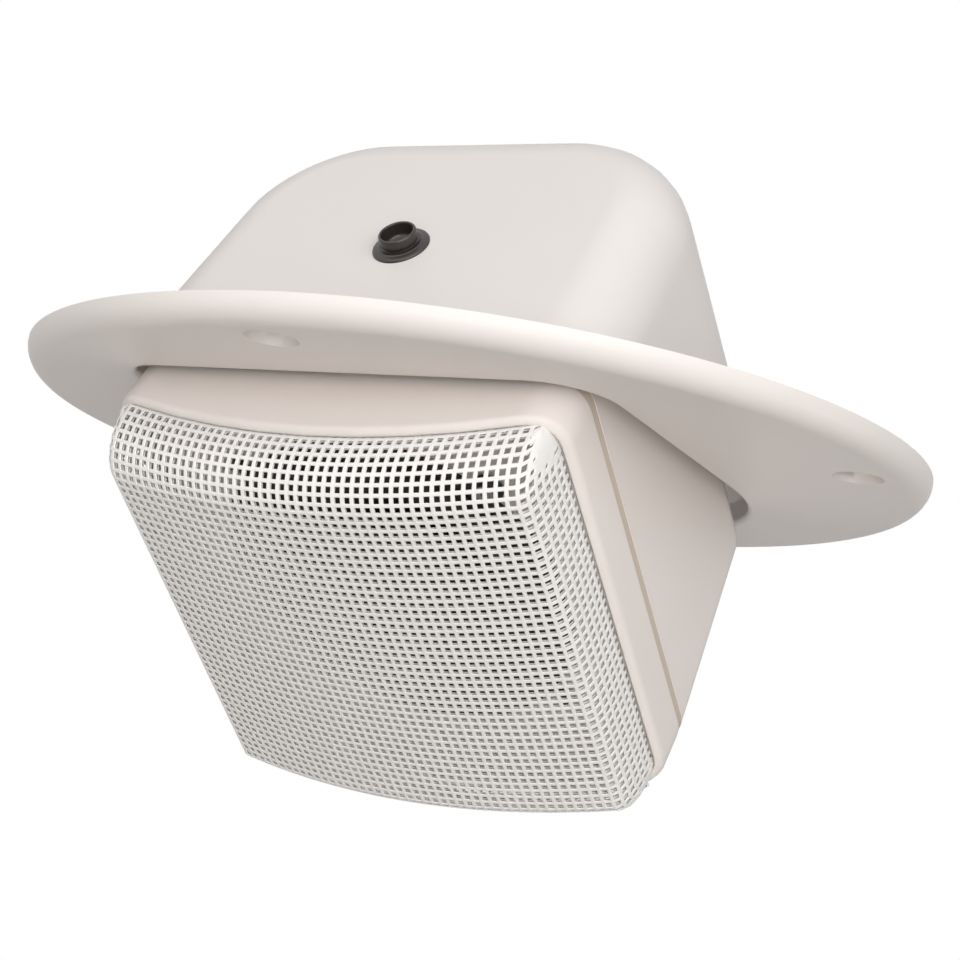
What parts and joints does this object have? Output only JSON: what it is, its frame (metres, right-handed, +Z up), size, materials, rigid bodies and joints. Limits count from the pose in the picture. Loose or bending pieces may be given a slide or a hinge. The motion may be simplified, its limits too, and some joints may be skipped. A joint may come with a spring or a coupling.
{
  "type": "ceiling speaker",
  "caption": "Round flanged ceiling housing with a hat-shaped dome and a small loudspeaker cabinet that tilts in its mouth, behind a formed grille of punched sheet.",
  "frame": {"origin": "centre of the four screw holes, on the back of the flange where it meets the ceiling", "axes": "+Z up into the ceiling, -Y towards the side the grille faces, +X to the right seen from the grille's side"},
  "size_m": [0.3, 0.3, 0.2159],
  "materials": {
    "housing_plastic": "fine moulded texture, warm white",
    "grommet_rubber": "smooth, slightly glossy",
    "screw_steel": "zinc plated",
    "washer_rubber": "matt",
    "brass": "turned",
    "cabinet_plastic": "fine moulded texture, warm white",
    "gasket_foam": "matt beige",
    "grille_paint": "white powder coat on punched sheet",
    "basket_steel": "black",
    "plated_steel": "zinc plated",
    "ferrite": "ground ferrite",
    "paper_cone": "pressed paper",
    "coil_copper": "lacquered wire on a former",
    "surround_rubber": "soft, matt",
    "spider_cloth": "treated cloth",
    "board": "pressed board",
    "wadding": "loose fibre",
    "terminal_plastic": "black",
    "lead_sleeve": "soft sleeve"
  },
  "bodies": {
    "housing": {"housing": "housing_plastic", "cable_grommet": "grommet_rubber"},
    "cabinet": {"pivot_screw_left": "screw_steel", "pivot_screw_right": "screw_steel", "friction_washer_left": "washer_rubber", "friction_washer_right": "washer_rubber", "pivot_insert_left": "brass", "pivot_insert_right": "brass", "front_bezel": "cabinet_plastic", "cabinet_gasket": "gasket_foam", "rear_cabinet": "cabinet_plastic", "grille": "grille_paint", "driver_basket": "basket_steel", "driver_top_plate": "plated_steel", "driver_magnet": "ferrite", "driver_yoke": "plated_steel", "surround": "surround_rubber", "spider": "spider_cloth", "driver_gasket": "gasket_foam", "driver_terminals": "board", "driver_screws": "screw_steel", "cabinet_screws": "screw_steel", "damping_pad": "wadding", "terminal_block": "terminal_plastic", "terminal_screws": "brass", "lead_wires": "lead_sleeve"},
    "cone": {"driver_cone": "paper_cone", "whizzer_cone": "paper_cone", "dust_cap": "paper_cone", "voice_coil": "coil_copper"}
  },
  "joints": [
    {"name": "cabinet_tilt", "type": "hinge", "parent": "housing", "child": "cabinet", "pos_m": [0, -0.00897, 0.00938], "axis": [1, 0, 0], "range_deg": [0, 10]},
    {"name": "cone_travel", "type": "slide", "parent": "cabinet", "child": "cone", "axis": [0, -0.5878, -0.809], "range_m": [-0.0025, 0.0025], "stiffness_N_per_m": 1200, "deforming": ["surround", "spider"]}
  ]
}
